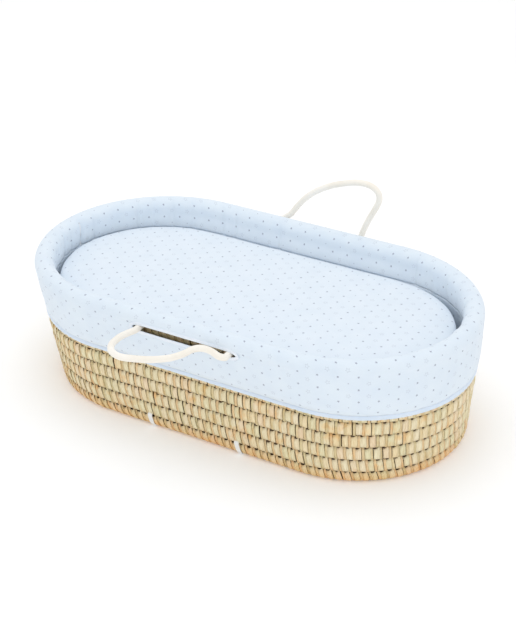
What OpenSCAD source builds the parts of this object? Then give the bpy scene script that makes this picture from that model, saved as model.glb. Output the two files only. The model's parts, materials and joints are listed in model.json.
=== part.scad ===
// Moses basket: a long oval basket of plaited palm leaf, with a padded cotton liner folded over its rim,
// a mattress on a support pad, and two covered cord handles whose straps pass under the base.
// +X is the foot end, -Y the front and +Z up. The origin is the middle of the underside.

/* [Basket] */
// Length over the padded rim
rim_length = 840; // [800:5:880]
// Width over the padded rim
rim_width = 461; // [440:1:480]
// Height of one turn of the palm plait
course_h = 24.5; // [24:0.1:25]
// Thickness of the palm plait
palm_t = 7; // [6:0.5:7]
// Thickness of the woven base
base_t = 8; // [7:0.5:8]

/* [Liner] */
// Height of the padded rim above the ground
rim_top = 240.7; // [238:0.1:244]
// Width of the padded roll over the rim
roll_w = 34; // [32:0.5:36]
// Thickness of the quilted cotton
cloth_t = 2; // [1.5:0.1:2]
// Height of the hem's lower edge
hem_z = 129; // [127:1:131]
// Height of the elastic hem
hem_h = 10; // [8:1:10]

/* [Mattress] */
// Height of the mattress top
mattress_top = 195; // [190:1:198]
// Thickness of the mattress with its cover
mattress_t = 62.6; // [50:0.1:70]
// Thickness of the mattress and pad covers
cover_t = 1.5; // [1:0.1:2]

/* [Handles] */
// Diameter of the covered handle cord
cord_d = 11.5; // [10:0.1:12]
// Diameter of the cord's rope core
core_d = 7; // [6:0.1:8]
// Distance of each strap from the middle of the basket
strap_x = 88; // [84:1:90]
// Width of the flat straps
strap_w = 10; // [8:0.5:10]
// Thickness of the flat straps
strap_t = 3; // [2.5:0.1:3]
// Height of the slot and of the handle pivots
slot_z = 213; // [212.5:0.5:213.5]
// Length of the handle slot
slot_l = 194; // [190:1:200]
// Width of the handle slot
slot_w = 13; // [12.5:0.5:13]
// Distance of the handle pivots from the long axis
pivot_y = 244; // [243.5:0.5:246]
// Angle of the front handle above the horizontal
front_tilt = 10; // [0:1:60]

/* [Hidden] */
$fn = 96;
half_l = rim_length / 2;
half_w = rim_width / 2;
// Height of the roll's widest line, where it meets the skirt
roll_z = 222;
// How far the skirt hangs in from the roll's widest line
skirt_in = 3.5;
course_n = 9;
wall_top = course_n * course_h;
// Clearance between pieces that rest on each other
gap = 0.2;
// Thickness of the liner's single cloth
liner_t = cloth_t - 0.5;
// Insets of flat pieces and of the hem, at the long sides, the head end and the foot end
hem_in = [26.5, 14, 5];
floor_in = [45.2, 55, 30.2];
pad_in = [46.5, 58, 42];
mattress_in = [46.5, 36, 40];

// Insets from the rim's widest line, as [height, inset] pairs: at the long sides, the head end, the foot end.
palm_side = [[12, 30], [40, 29.5], [135, 29.5], [160, 24.5], [184, 20.5], [208, 16.5]];
palm_head = [[12, 41.5], [110, 17], [225, 17]];
palm_foot = [[12, 15.5], [110, 8], [225, 8]];
skirt_side = [[134, 26.5], [140, 22], [163, 9.5], [192, skirt_in], [roll_z, skirt_in]];
skirt_head = [[134, 14], [163, 12], [200, 4], [roll_z, 2]];
skirt_foot = [[134, 5], [163, 1.5], [192, 0.5], [roll_z, 0.2]];
liner_side_in = [[12, 43.5], [151, 43.5], [190, 40.5], [206, 34.5], [213, 34]];
liner_head_in = [[12, 55], [115, 30.5], [150, 30.5], [213, 34]];
liner_foot_in = [[12, 29], [115, 21.5], [150, 21.5], [213, 34]];

// An oval with straight sides, inset from the rim's widest line at its sides, head and foot
module oval(side, head, foot) {
    r = half_w - side;
    translate([head - half_l + r, 0]) circle(r);
    translate([half_l - foot - r, 0]) circle(r);
    translate([head - half_l + r, -r]) square([2 * half_l - head - foot - 2 * r, 2 * r]);
}

// A straight oval ring from z0 to z1, t thick inwards from the given insets
module ring(z0, z1, side, head, foot, t) {
    translate([0, 0, z0]) linear_extrude(z1 - z0) difference() {
        oval(side, head, foot);
        oval(side + t, head + t, foot + t);
    }
}

// A solid oval slab from z0 to z1
module slab(z0, z1, side, head, foot) {
    translate([0, 0, z0]) linear_extrude(z1 - z0) oval(side, head, foot);
}

// Steps of about one half course between two heights, following the liner's insets
module liner_steps(heights, side, head, foot, t) {
    for (i = [0 : len(heights) - 2]) {
        mid = (heights[i] + heights[i + 1]) / 2;
        ring(heights[i], heights[i + 1], lookup(mid, side), lookup(mid, head), lookup(mid, foot), t);
    }
}

// A profile of [inset, height] points carried round the rim's oval
module carry_round(points) {
    reach = half_l - half_w;
    profile = [for (p = points) [half_w - p[0], p[1]]];
    for (end = [-1, 1])
        translate([end * reach, 0, 0]) rotate([0, 0, -90 * end]) rotate_extrude(angle = 180) polygon(profile);
    for (side = [0, 180])
        rotate([0, 0, side]) translate([-reach, 0, 0]) rotate([90, 0, 90])
            linear_extrude(2 * reach) polygon(profile);
}

// ---- palm wall -------------------------------------------------------------------------------

function course_mid(k) = (k - 0.5) * course_h;
function course_side(k) = lookup(course_mid(k), palm_side);
function course_head(k) = lookup(course_mid(k), palm_head);
function course_foot(k) = lookup(course_mid(k), palm_foot);
function wall_y(k) = half_w - course_side(k);

// The four places where a strap or a handle crosses the wall
module at_straps() {
    for (x = [-strap_x, strap_x]) translate([x, 0, 0]) children();
}

module strap_groove() {
    at_straps() translate([-strap_w / 2 - gap, -half_w, -1])
        cube([strap_w + 2 * gap, rim_width, strap_t + gap + 1]);
}

module strap_exits() {
    at_straps() translate([-strap_w / 2 - gap, -half_w, course_h + gap])
        cube([strap_w + 2 * gap, rim_width, strap_t + 2 * gap]);
}

module handle_holes() {
    at_straps() translate([0, half_w, slot_z]) rotate([90, 0, 0]) cylinder(d = cord_d + gap, h = rim_width);
}

module palm_base() {
    color("burlywood") difference() {
        slab(0, base_t, course_side(1) + palm_t, course_head(1) + palm_t, course_foot(1) + palm_t);
        strap_groove();
    }
}

module palm_course(k) {
    color(k % 2 == 0 ? "burlywood" : "wheat") difference() {
        ring((k - 1) * course_h, k * course_h, course_side(k), course_head(k), course_foot(k), palm_t);
        if (k == 1) strap_groove();
        if (k == 2) strap_exits();
        if (k == course_n) handle_holes();
    }
}

// A palm cord that closes the wall's top edge, carried round its own oval
module palm_rim_cord() {
    side = course_side(course_n);
    r = half_w - side - palm_t / 2;
    x0 = course_head(course_n) - half_l + half_w - side;
    x1 = half_l - course_foot(course_n) - half_w + side;
    cord_r = 4.5;
    color("tan") translate([0, 0, wall_top + cord_r]) {
        for (end = [[x1, -90], [x0, 90]])
            translate([end[0], 0, 0]) rotate([0, 0, end[1]]) rotate_extrude(angle = 180)
                translate([r, 0]) circle(cord_r, $fn = 24);
        for (s = [-1, 1])
            translate([x0, s * r, 0]) rotate([0, 90, 0]) cylinder(r = cord_r, h = x1 - x0, $fn = 24);
    }
}

// ---- straps ----------------------------------------------------------------------------------

// The strap under the base, up both outer faces of the first course and in through the wall above it
module base_strap(x) {
    out_y = wall_y(2) + gap + strap_t;
    in_y = wall_y(2) - palm_t - gap;
    top = course_h + 2 * gap;
    color("white") translate([x - strap_w / 2, 0, 0]) {
        translate([0, -out_y, 0]) cube([strap_w, 2 * out_y, strap_t]);
        for (s = [0, 1]) mirror([0, s, 0]) {
            translate([0, -out_y, 0]) cube([strap_w, strap_t, top + strap_t]);
            translate([0, -out_y, top]) cube([strap_w, out_y - in_y, strap_t]);
        }
    }
}

// The side view of the strap's run behind the wall, as [distance, height] points that follow the courses
function run_edge(t) = [
    for (k = [2 : course_n]) each [
        [wall_y(k) - palm_t - gap - t, k == 2 ? course_h + 2 * gap : (k - 1) * course_h + 4],
        [wall_y(k) - palm_t - gap - t, k == course_n ? slot_z + strap_t : k * course_h - gap]
    ]
];

function backwards(list) = [for (i = [len(list) - 1 : -1 : 0]) list[i]];

// One strap inside the wall, and the cord's end that comes out of it through the slot
module strap_run(x, front) {
    edge = concat(run_edge(0), backwards(run_edge(strap_t)));
    stub_in = wall_y(course_n) - palm_t - gap - strap_t;
    stub_out = pivot_y - cord_d / 2 - 2;
    color("white") mirror([0, front ? 1 : 0, 0]) translate([x, 0, 0]) {
        translate([-strap_w / 2, 0, 0]) rotate([90, 0, 90]) linear_extrude(strap_w) polygon(edge);
        translate([0, stub_in, slot_z]) rotate([-90, 0, 0])
            cylinder(d = cord_d - 0.5, h = stub_out - stub_in);
    }
}

// ---- liner -----------------------------------------------------------------------------------

roll_b = rim_top - roll_z;

// An arc of the roll's half ellipse as [inset, height] points, drawn t inside its outer face
function roll_arc(t, from, to, n = 14) = [
    for (i = [0 : n]) let (a = from + (to - from) * i / n)
        [roll_w / 2 - (roll_w / 2 - t) * cos(a), roll_z + (roll_b - t) * sin(a)]
];

module liner_rim_roll() {
    color("lightcyan") carry_round(concat(
        [[skirt_in, roll_z]], roll_arc(0, 4, 180), [[roll_w, 213], [roll_w - cloth_t, 213]],
        roll_arc(cloth_t, 180, 4), [[skirt_in + cloth_t, roll_z]]));
}

// A long slot with round ends, widened all round by extra, deep enough to cut the skirt
module slot_shape(extra) {
    r = slot_w / 2 + extra;
    half = (slot_l - slot_w) / 2;
    deep = 24;
    for (x = [-half, half]) translate([x, 0, 0]) cylinder(r = r, h = deep, center = true);
    cube([2 * half, 2 * r, deep], center = true);
}

module both_slots() {
    for (s = [-1, 1]) translate([0, s * half_w, slot_z]) rotate([90, 0, 0]) slot_shape(0);
}

module skirt(heights) {
    difference() {
        liner_steps(heights, skirt_side, skirt_head, skirt_foot, cloth_t);
        both_slots();
    }
}

module skirt_upper() {
    color("lightcyan") skirt([slot_z, 217, roll_z]);
}

module skirt_lower() {
    color("azure") skirt([each [hem_z + hem_h : 4 : 163], 170, 180, 192, 203, slot_z]);
}

// A ring at the hem, set in from the hem's outer face and its edges, t thick
module hem_ring(set_in, edge, t) {
    ring(hem_z + edge, hem_z + hem_h - edge, hem_in[0] + set_in, hem_in[1] + set_in, hem_in[2] + set_in, t);
}

module hem_channel() {
    color("lightblue") difference() {
        hem_ring(0, 0, 2.6);
        hem_ring(0.8, 2, 1);
    }
}

module hem_elastic() {
    color("white") hem_ring(0.9, 2.2, 0.8);
}

module slot_binding(front) {
    tape_w = 2;
    tape_t = 1.6;
    y = (front ? -1 : 1) * (half_w - skirt_in + tape_t / 2);
    color("white") translate([0, y, slot_z]) rotate([90, 0, 0]) intersection() {
        difference() {
            slot_shape(tape_w);
            slot_shape(0);
        }
        cube([slot_l + 20, 40, tape_t], center = true);
    }
}

module liner_side() {
    heights = [base_t + gap, 30, 49, 73.5, 98, 122.5, 147, 160, 171.5, 184, 196, 203, 213];
    color("aliceblue") liner_steps(heights, liner_side_in, liner_head_in, liner_foot_in, liner_t);
}

module liner_floor() {
    z = base_t + gap;
    color("aliceblue") slab(z, z + liner_t, floor_in[0], floor_in[1], floor_in[2]);
}

// A flat sheet of wadding between the upper turns of the wall and the liner
module side_wadding() {
    z0 = 6.2 * course_h;
    z1 = 8 * course_h - gap;
    color("whitesmoke") difference() {
        slab(z0, z1, course_side(7) + palm_t + strap_t + 2 * gap, course_head(7) + palm_t + 2 * gap,
            course_foot(7) + palm_t + 2 * gap);
        slab(z0 - 1, z1 + 1, lookup(z1, liner_side_in) - gap, lookup(z0, liner_head_in) - gap,
            lookup(z0, liner_foot_in) - gap);
    }
}

// A thick roll of wadding folded over the wall's top edge
module rim_wadding() {
    inset = cloth_t + gap;
    wall_in = 27.2;
    wall_out = 6.8;
    over_wall = 230;
    inner_end = 203.5;
    outer_end = 225.4;
    color("whitesmoke") carry_round(concat(
        roll_arc(inset, 12, 180), [[roll_w - inset, inner_end], [wall_in, inner_end], [wall_in, over_wall],
        [wall_out, over_wall], [wall_out, outer_end]]));
}

// ---- mattress and support pad ----------------------------------------------------------------

pad_z0 = base_t + gap + liner_t + gap;
mattress_z0 = mattress_top - mattress_t;
pad_z1 = mattress_z0 - gap;

// The space of an oval pad from z0 to z1 with the given insets, drawn smaller all round by inset
module pad_space(z0, z1, insets, inset) {
    slab(z0 + inset, z1 - inset, insets[0] + inset, insets[1] + inset, insets[2] + inset);
}

module cover_shell(z0, z1, insets) {
    difference() {
        pad_space(z0, z1, insets, 0);
        pad_space(z0, z1, insets, cover_t);
    }
}

module filling(z0, z1, insets) {
    pad_space(z0, z1, insets, cover_t + gap / 2);
}

module support_pad_cover() {
    color("white") cover_shell(pad_z0, pad_z1, pad_in);
}

module support_pad_foam() {
    color("lightyellow") filling(pad_z0, pad_z1, pad_in);
}

module mattress_cover() {
    color("aliceblue") cover_shell(mattress_z0, mattress_top, mattress_in);
}

module mattress_core() {
    color("lightyellow") filling(mattress_z0, mattress_top, mattress_in);
}

// ---- handles ---------------------------------------------------------------------------------

// Routes as [along the basket, reach from the pivots, drop below the handle's plane]
front_route = [[-88, 0, 0], [-91, 17.5, 0], [-91, 34, 0], [-88, 50, 0], [-84, 67, 0], [-76, 83, 0],
    [-62, 99, 0], [-41, 106, 0], [-18, 97, 0], [3, 82, 0], [19, 61, 0], [26, 47.5, -1], [32, 33.5, -3],
    [37, 17, -6.5], [46, 7, -8.5], [58, 5, -9], [70, 6, -7.5], [81, 5.5, -3.5], [88, 0, 0]];
back_route = [[-88, 0, 0], [-76, 9, 0], [-58, 24, 0], [-43, 45, 0], [-24, 67, 0], [0, 86, 0], [27, 101, 0],
    [55, 112, 0], [82, 119, 0], [106, 118, 0], [121, 108, 0], [124, 93, 0], [117, 75, 0], [106, 53, 0],
    [97, 32, 0], [91, 15, 0], [88, 0, 0]];

function at(list, i) = list[max(0, min(len(list) - 1, i))];

// A point on the smooth curve through the route, u counting its points
function on_route(route, u) =
    let (i = min(floor(u), len(route) - 2), f = u - i,
        p = at(route, i - 1), q = at(route, i), r = at(route, i + 1), s = at(route, i + 2))
    0.5 * (2 * q + (r - p) * f + (2 * p - 5 * q + 4 * r - s) * f * f + (3 * q - p - 3 * r + s) * f * f * f);

// A tube of the given radius along a route, with round ends
module flat_cord(route, radius, sides = 12) {
    steps = 2 * (len(route) - 1);
    mid = [for (i = [0 : steps]) on_route(route, i / 2)];
    way = [for (i = [0 : steps]) let (d = at(mid, i + 1) - at(mid, i - 1))
        [d[0], d[1], 0] / norm([d[0], d[1]])];
    caps = [85, 60, 30];
    rings = concat(
        [for (a = caps) [mid[0] - way[0] * radius * sin(a), way[0], radius * cos(a)]],
        [for (i = [0 : steps]) [mid[i], way[i], radius]],
        [for (a = backwards(caps)) [mid[steps] + way[steps] * radius * sin(a), way[steps], radius * cos(a)]]);
    last = len(rings) - 1;
    points = [for (g = rings, j = [0 : sides - 1]) let (a = 360 * j / sides)
        g[0] + g[2] * [-g[1][1] * cos(a), g[1][0] * cos(a), sin(a)]];
    faces = concat(
        [[for (j = [sides - 1 : -1 : 0]) j]],
        [for (i = [0 : last - 1], j = [0 : sides - 1]) let (k = (j + 1) % sides)
            [i * sides + j, i * sides + k, (i + 1) * sides + k, (i + 1) * sides + j]],
        [[for (j = [0 : sides - 1]) last * sides + j]]);
    polyhedron(points, [for (f = faces) backwards(f)]);
}

module place_handle(front) {
    translate([0, front ? -pivot_y : pivot_y, slot_z])
        rotate([front ? 180 - front_tilt : 90, 0, 0]) children();
}

module handle_cover(route, front) {
    color("ivory") place_handle(front) difference() {
        flat_cord(route, cord_d / 2);
        flat_cord(route, core_d / 2 + gap / 2, 8);
    }
}

module handle_core(route, front) {
    color("tan") place_handle(front) flat_cord(route, core_d / 2, 8);
}

module front_handle_cover() {
    handle_cover(front_route, true);
}

module front_handle_core() {
    handle_core(front_route, true);
}

module back_handle_cover() {
    handle_cover(back_route, false);
}

module back_handle_core() {
    handle_core(back_route, false);
}

palm_base();
for (k = [1 : course_n]) palm_course(k);
palm_rim_cord();
base_strap(-strap_x);  // base_strap_head
base_strap(strap_x);  // base_strap_foot
strap_run(-strap_x, true);  // strap_front_head
strap_run(strap_x, true);  // strap_front_foot
strap_run(-strap_x, false);  // strap_back_head
strap_run(strap_x, false);  // strap_back_foot
side_wadding();
rim_wadding();
liner_side();
liner_floor();
liner_rim_roll();
skirt_upper();
skirt_lower();
hem_channel();
hem_elastic();
slot_binding(true);  // slot_binding_front
slot_binding(false);  // slot_binding_back
support_pad_foam();
support_pad_cover();
mattress_core();
mattress_cover();
front_handle_cover();
front_handle_core();
back_handle_cover();
back_handle_core();
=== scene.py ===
# A moses basket: a coiled palm-leaf basket with a padded cotton liner folded over its rim, a mattress on a
# support pad, and two covered cord handles. Everything is in metres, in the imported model's own frame.
import json
import math

import bpy
import numpy as np
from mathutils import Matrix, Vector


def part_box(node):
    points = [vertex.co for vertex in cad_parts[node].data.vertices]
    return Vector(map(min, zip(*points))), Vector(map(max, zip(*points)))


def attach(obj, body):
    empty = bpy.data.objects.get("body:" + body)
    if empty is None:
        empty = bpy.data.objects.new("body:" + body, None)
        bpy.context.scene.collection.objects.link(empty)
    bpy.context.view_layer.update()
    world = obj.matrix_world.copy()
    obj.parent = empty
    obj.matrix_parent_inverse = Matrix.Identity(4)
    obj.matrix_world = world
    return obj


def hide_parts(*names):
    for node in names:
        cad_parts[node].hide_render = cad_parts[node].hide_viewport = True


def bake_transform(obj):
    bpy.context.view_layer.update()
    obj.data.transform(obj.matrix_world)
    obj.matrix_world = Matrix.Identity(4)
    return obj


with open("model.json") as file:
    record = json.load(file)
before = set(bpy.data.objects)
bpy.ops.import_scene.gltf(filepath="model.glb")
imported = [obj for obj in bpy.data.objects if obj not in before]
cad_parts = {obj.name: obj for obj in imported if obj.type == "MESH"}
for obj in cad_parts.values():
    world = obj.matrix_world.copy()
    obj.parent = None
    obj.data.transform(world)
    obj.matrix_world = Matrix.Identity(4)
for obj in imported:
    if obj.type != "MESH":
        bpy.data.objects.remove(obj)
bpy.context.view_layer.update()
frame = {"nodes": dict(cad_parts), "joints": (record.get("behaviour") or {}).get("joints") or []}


# ---- Camera ----------------------------------------------------------------------------------
# A long lens looks down on the basket from its front, over the foot end. The camera stands on a line from
# the point it aims at, at the turn and rise of that line.
view_turn = math.radians(30.03)
view_rise = math.radians(29.33)
view_distance = 2.698
view_aim = np.array([0.0, 0.018, 0.132])
towards_camera = np.array([
    math.sin(view_turn) * math.cos(view_rise),
    -math.cos(view_turn) * math.cos(view_rise),
    math.sin(view_rise),
])
lens = bpy.data.cameras.new("camera")
lens.lens = 84.4
camera = bpy.data.objects.new("camera", lens)
camera.location = view_aim + view_distance * towards_camera
camera.rotation_euler = (math.pi / 2 - view_rise, 0, view_turn)
bpy.context.scene.collection.objects.link(camera)
bpy.context.scene.camera = camera


# ---- Floor and light -------------------------------------------------------------------------
# A plain white floor under one big soft lamp overhead and a weaker one from the front right, with white air
# all round, as in a small product studio.
floor_half = 40.0


def new_object(name, mesh):
    """An object at the origin for a finished mesh."""
    thing = bpy.data.objects.new(name, mesh)
    bpy.context.scene.collection.objects.link(thing)
    return thing


def new_material(name):
    """A node material and its Principled shader."""
    material = bpy.data.materials.new(name)
    material.use_nodes = True
    return material, material.node_tree.nodes["Principled BSDF"]


floor_mesh = bpy.data.meshes.new("floor")
floor_corners = [(x * floor_half, y * floor_half, 0) for x, y in ((-1, -1), (1, -1), (1, 1), (-1, 1))]
floor_mesh.from_pydata(floor_corners, [], [(0, 1, 2, 3)])
floor = new_object("floor", floor_mesh)
floor_finish, shader = new_material("studio floor")
shader.inputs["Base Color"].default_value = (0.93, 0.93, 0.93, 1)
shader.inputs["Roughness"].default_value = 0.9
shader.inputs["Emission Color"].default_value = (1, 1, 1, 1)
shader.inputs["Emission Strength"].default_value = 0.12
floor_mesh.materials.append(floor_finish)

world = bpy.data.worlds.new("studio air")
world.use_nodes = True
world.node_tree.nodes["Background"].inputs["Color"].default_value = (1, 1, 1, 1)
world.node_tree.nodes["Background"].inputs["Strength"].default_value = 0.88
bpy.context.scene.world = world
bpy.context.scene.view_settings.view_transform = "Standard"


def soft_lamp(name, place, size, watts):
    """A square area lamp at a place, facing the basket's middle."""
    data = bpy.data.lights.new(name, "AREA")
    data.size = size
    data.energy = watts
    lamp = bpy.data.objects.new(name, data)
    lamp.location = place
    away = np.array(place, float) - (0, 0, 0.1)
    flat = math.hypot(away[0], away[1])
    lamp.rotation_euler = (math.atan2(flat, away[2]), 0, math.atan2(away[0], -away[1]))
    bpy.context.scene.collection.objects.link(lamp)


soft_lamp("overhead lamp", (-0.3, 0.3, 2.6), 2.2, 12)
soft_lamp("front lamp", (1.7, -2.0, 1.8), 1.6, 6)


# ---- Palm wall -------------------------------------------------------------------------------
# One long flat plait of folded palm leaf, coiled nine turns high and sewn edge to edge. Each cell of the
# plait shows a broad fold of leaf and, on its left, a narrow set-back fold that runs down into the next turn.
course_n = 9
cell_n = 136
leaf_t = 0.0013
backing_depth = 0.0034
bottom_round = 0.014
random = np.random.default_rng(7)
course_boxes = [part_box(f"palm_course_{k + 1}") for k in range(course_n)]
course_h = course_boxes[0][1].z - course_boxes[0][0].z
palm_t = course_boxes[0][1].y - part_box("palm_base")[1].y


def oval(fraction, side, head, foot):
    """Points and outward directions on an oval with straight sides. fraction goes once round, by length, from
    the middle of the front towards the foot end. side is half the width; head and foot are the ends' x.
    A straight run, a half circle of radius side, the back run, and the second half circle."""
    left, right = head + side, foot - side
    run, arc = right - left, np.pi * side
    s = (fraction % 1.0) * 2 * (run + arc)
    foot_turn = np.clip((s - run / 2) / side, 0, np.pi)
    back = np.clip(s - run / 2 - arc, 0, run)
    head_turn = np.clip((s - 1.5 * run - arc) / side, 0, np.pi)
    front = np.clip(s, 0, run / 2) + np.clip(s - 1.5 * run - 2 * arc, 0, run / 2)
    angle = foot_turn + head_turn - np.pi / 2
    out = np.stack([np.cos(angle), np.sin(angle)], -1)
    middle = (left + right) / 2 + front - back
    return np.stack([middle + side * out[..., 0], side * out[..., 1]], -1), out


def wall_outline(z):
    """Half width, head x and foot x of the wall's outer face at a height: straight lines between the middles
    of the nine turns, tucked in round the bottom edge by a quarter circle."""
    middles = [(low.z + high.z) / 2 for low, high in course_boxes]
    tuck = np.clip(1 - z / bottom_round, 0, 1)
    tuck = bottom_round * (1 - np.sqrt(1 - tuck ** 2)) * 0.8
    side = np.interp(z, middles, [high.y for low, high in course_boxes]) - tuck
    head = np.interp(z, middles, [low.x for low, high in course_boxes]) + tuck
    foot = np.interp(z, middles, [high.x for low, high in course_boxes]) - tuck
    return side, head, foot


def on_wall(fraction, z, proud):
    """Points on the wall at a height, stood out from its face by proud."""
    point, out = oval(fraction, *wall_outline(z))
    return np.concatenate([point + out * proud[..., None], z[..., None]], -1)


def grid_faces(rows, cols, wrap):
    """Quads of a grid of rows by cols points, closed round the columns if wrap is true."""
    j = np.arange(cols if wrap else cols - 1)
    i = np.arange(rows - 1)[:, None]
    a, b = i * cols + j, i * cols + (j + 1) % cols
    return np.stack([a, b, b + cols, a + cols], -1).reshape(-1, 4)


def mesh_from(name, points, faces, uv=None, tone=None, smooth=None):
    """A mesh from arrays of points and quads, with face-corner uv in metres and a per-point tone. Faces are
    smooth unless smooth says otherwise."""
    mesh = bpy.data.meshes.new(name)
    mesh.vertices.add(len(points))
    mesh.vertices.foreach_set("co", np.asarray(points, np.float32).ravel())
    faces = np.asarray(faces, np.int32)
    mesh.loops.add(faces.size)
    mesh.loops.foreach_set("vertex_index", faces.ravel())
    mesh.polygons.add(len(faces))
    mesh.polygons.foreach_set("loop_start", np.arange(0, faces.size, faces.shape[1], dtype=np.int32))
    mesh.polygons.foreach_set("use_smooth", np.ones(len(faces), bool) if smooth is None else smooth)
    if uv is not None:
        layer = mesh.uv_layers.new(name="cloth")
        layer.data.foreach_set("uv", np.asarray(uv, np.float32).ravel())
    if tone is not None:
        mesh.attributes.new("tone", "FLOAT", "POINT").data.foreach_set("value", np.asarray(tone, np.float32))
    mesh.update(calc_edges=True)
    mesh.validate()
    return mesh


def folds(rows_n, cells, place, height, slant):
    """The folds of one turn: for each cell a broad fold and a narrow one to its left. A fold is a patch of
    leaf, its face crowned, its bottom edge standing proud and its top tucked in, and its rim turned back by
    the leaf's thickness. The top edge slopes up to the right, which leaves a three-cornered gap, dark with
    shade and with the painted shade of the dark brown backing behind it."""
    share = [(0.33, 0.985, 1.0), (0.005, 0.325, 0.0)]
    u = np.concatenate([[0], np.linspace(0, 1, 4), [1]])
    v = np.concatenate([[0], np.linspace(0, 1, 5), [1]])[:, None]
    turned = np.zeros((len(v), len(u)))
    turned[[0, -1], :] = 1
    turned[:, [0, -1]] = 1
    points, uvs, tones = [], [], []
    for left, right, broad in share:
        slide, widen, lift, drop = random.normal(0, 1, (cells, 4)).T[:, :, None, None]
        cell = (np.arange(cells) + 0.5 * (rows_n % 2))[:, None, None] + 0.035 * slide
        across = left + (right - left) * ((u - 0.5) * (1 + 0.06 * widen) + 0.5)
        top = np.where(broad, 0.79 + 0.57 * np.clip(across - left - 0.29, 0, 1), 0.92) + 0.015 * lift
        bottom = (0.015 if broad else -0.07) + 0.015 * drop
        up = bottom + (top - bottom) * v
        lean = slant * (0.5 - up) + 0.02 * lift * (0.5 - up)
        crown = 0.0004 * np.sin(np.pi * u) * broad
        proud = np.where(broad, 0.0006, -0.0004) + crown + 0.0006 * np.sin(np.pi * v ** 0.8)
        proud = proud + broad * 0.0005 * (u - 0.4) - 0.0021 * np.clip((v - 0.72) / 0.28, 0, 1) ** 2
        proud = proud + 0.00022 * slide - leaf_t * turned
        points.append(place((cell + across + lean) / cells, up * height, proud).reshape(-1, 3))
        uv = np.broadcast_arrays(u * (right - left) * 0.0155 + 0.031 * cell, up * height)
        uvs.append(np.stack(uv, -1).reshape(-1, 2))
        tones.append(np.broadcast_to(random.random(cells)[:, None, None], up.shape).ravel() * 0.5 + 0.5 * broad)
    count = sum(len(p) for p in points) // turned.size
    quads = grid_faces(len(v), len(u), False)
    patch = quads[None] + turned.size * np.arange(count)[:, None, None]
    return np.concatenate(points), patch.reshape(-1, 4), np.concatenate(uvs), np.concatenate(tones)


def backing(fractions, place, height, depths):
    """A closed ring of square section behind the folds, from its four corner lines. The leaf material gives it
    a flat dark brown, painted shade for the gaps between the folds.
    """
    corners = ((0, depths[0]), (0, depths[1]), (height, depths[1]), (height, depths[0]))
    all_round = np.ones_like(fractions)
    lines = [place(fractions, up * all_round, -deep * all_round) for up, deep in corners]
    n = len(fractions)
    here, following = np.arange(n), (np.arange(n) + 1) % n
    faces = np.concatenate([
        np.stack([a * n + here, b * n + here, b * n + following, a * n + following], -1)
        for a, b in ((0, 1), (1, 2), (2, 3), (3, 0))])
    return np.concatenate(lines), faces


def plait(name, rows_n, cells, place, height, slant, depth):
    """One turn of plait: its folds with the backing ring behind them. The backing's points get a tone of -1,
    which the leaf material turns into a flat dark brown, painted shade for the gaps between the folds.
    """
    points, faces, uv, tone = folds(rows_n, cells, place, height, slant)
    back_points, back_faces = backing(np.arange(2 * cells) / (2 * cells), place, height, (backing_depth, depth))
    faces = np.concatenate([faces, back_faces + len(points)])
    corner_uv = np.concatenate([uv, np.zeros((len(back_points), 2))])[faces.ravel()]
    tone = np.concatenate([tone, np.full(len(back_points), -1.0)])
    row, column = np.divmod(np.arange(30), 5)
    inner = (row % 5 > 0) & (column % 4 > 0)
    fold_count = (len(faces) - len(back_faces)) // 30
    smooth = np.concatenate([np.tile(inner, fold_count), np.ones(len(back_faces), bool)])
    return mesh_from(name, np.concatenate([points, back_points]), faces, corner_uv, tone, smooth)


def node(tree, kind, **settings):
    """A shader node with its properties set by name and its sockets by number."""
    made = tree.nodes.new(kind)
    for key, value in settings.items():
        if key.startswith("in_"):
            made.inputs[int(key[3:])].default_value = value
        else:
            setattr(made, key, value)
    return made


def linear(red, green, blue):
    """A linear colour from a screen colour of 0 to 255."""
    share = np.array([red, green, blue]) / 255
    value = np.where(share <= 0.04045, share / 12.92, ((share + 0.055) / 1.055) ** 2.4)
    return (*value, 1)


def ramp(tree, source, stops):
    """A colour ramp through (place, colour) stops."""
    made = tree.nodes.new("ShaderNodeValToRGB")
    made.color_ramp.elements[0].position, made.color_ramp.elements[0].color = stops[0]
    made.color_ramp.elements[1].position, made.color_ramp.elements[1].color = stops[-1]
    for place, colour in stops[1:-1]:
        made.color_ramp.elements.new(place).color = colour
    tree.links.new(source, made.inputs[0])
    return made.outputs[0]


def mask(tree, source, low, high):
    """Black where source is below low, white where it is above high."""
    return ramp(tree, source, [(low, (0, 0, 0, 1)), (high, (1, 1, 1, 1))])


def roughen(tree, shader, height, strength, distance):
    """Gives a shader a bump from a height socket."""
    bump = node(tree, "ShaderNodeBump", in_0=strength, in_1=distance)
    tree.links.new(height, bump.inputs["Height"])
    tree.links.new(bump.outputs["Normal"], shader.inputs["Normal"])


def blend_colour(tree, factor, first, second, mode="MIX"):
    """A mix of two colours; factor, first and second are sockets or plain values."""
    made = node(tree, "ShaderNodeMix", data_type="RGBA", blend_type=mode)
    for socket, value in ((made.inputs[0], factor), (made.inputs[6], first), (made.inputs[7], second)):
        if isinstance(value, bpy.types.NodeSocket):
            tree.links.new(value, socket)
        else:
            socket.default_value = value
    return made.outputs[2]


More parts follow.
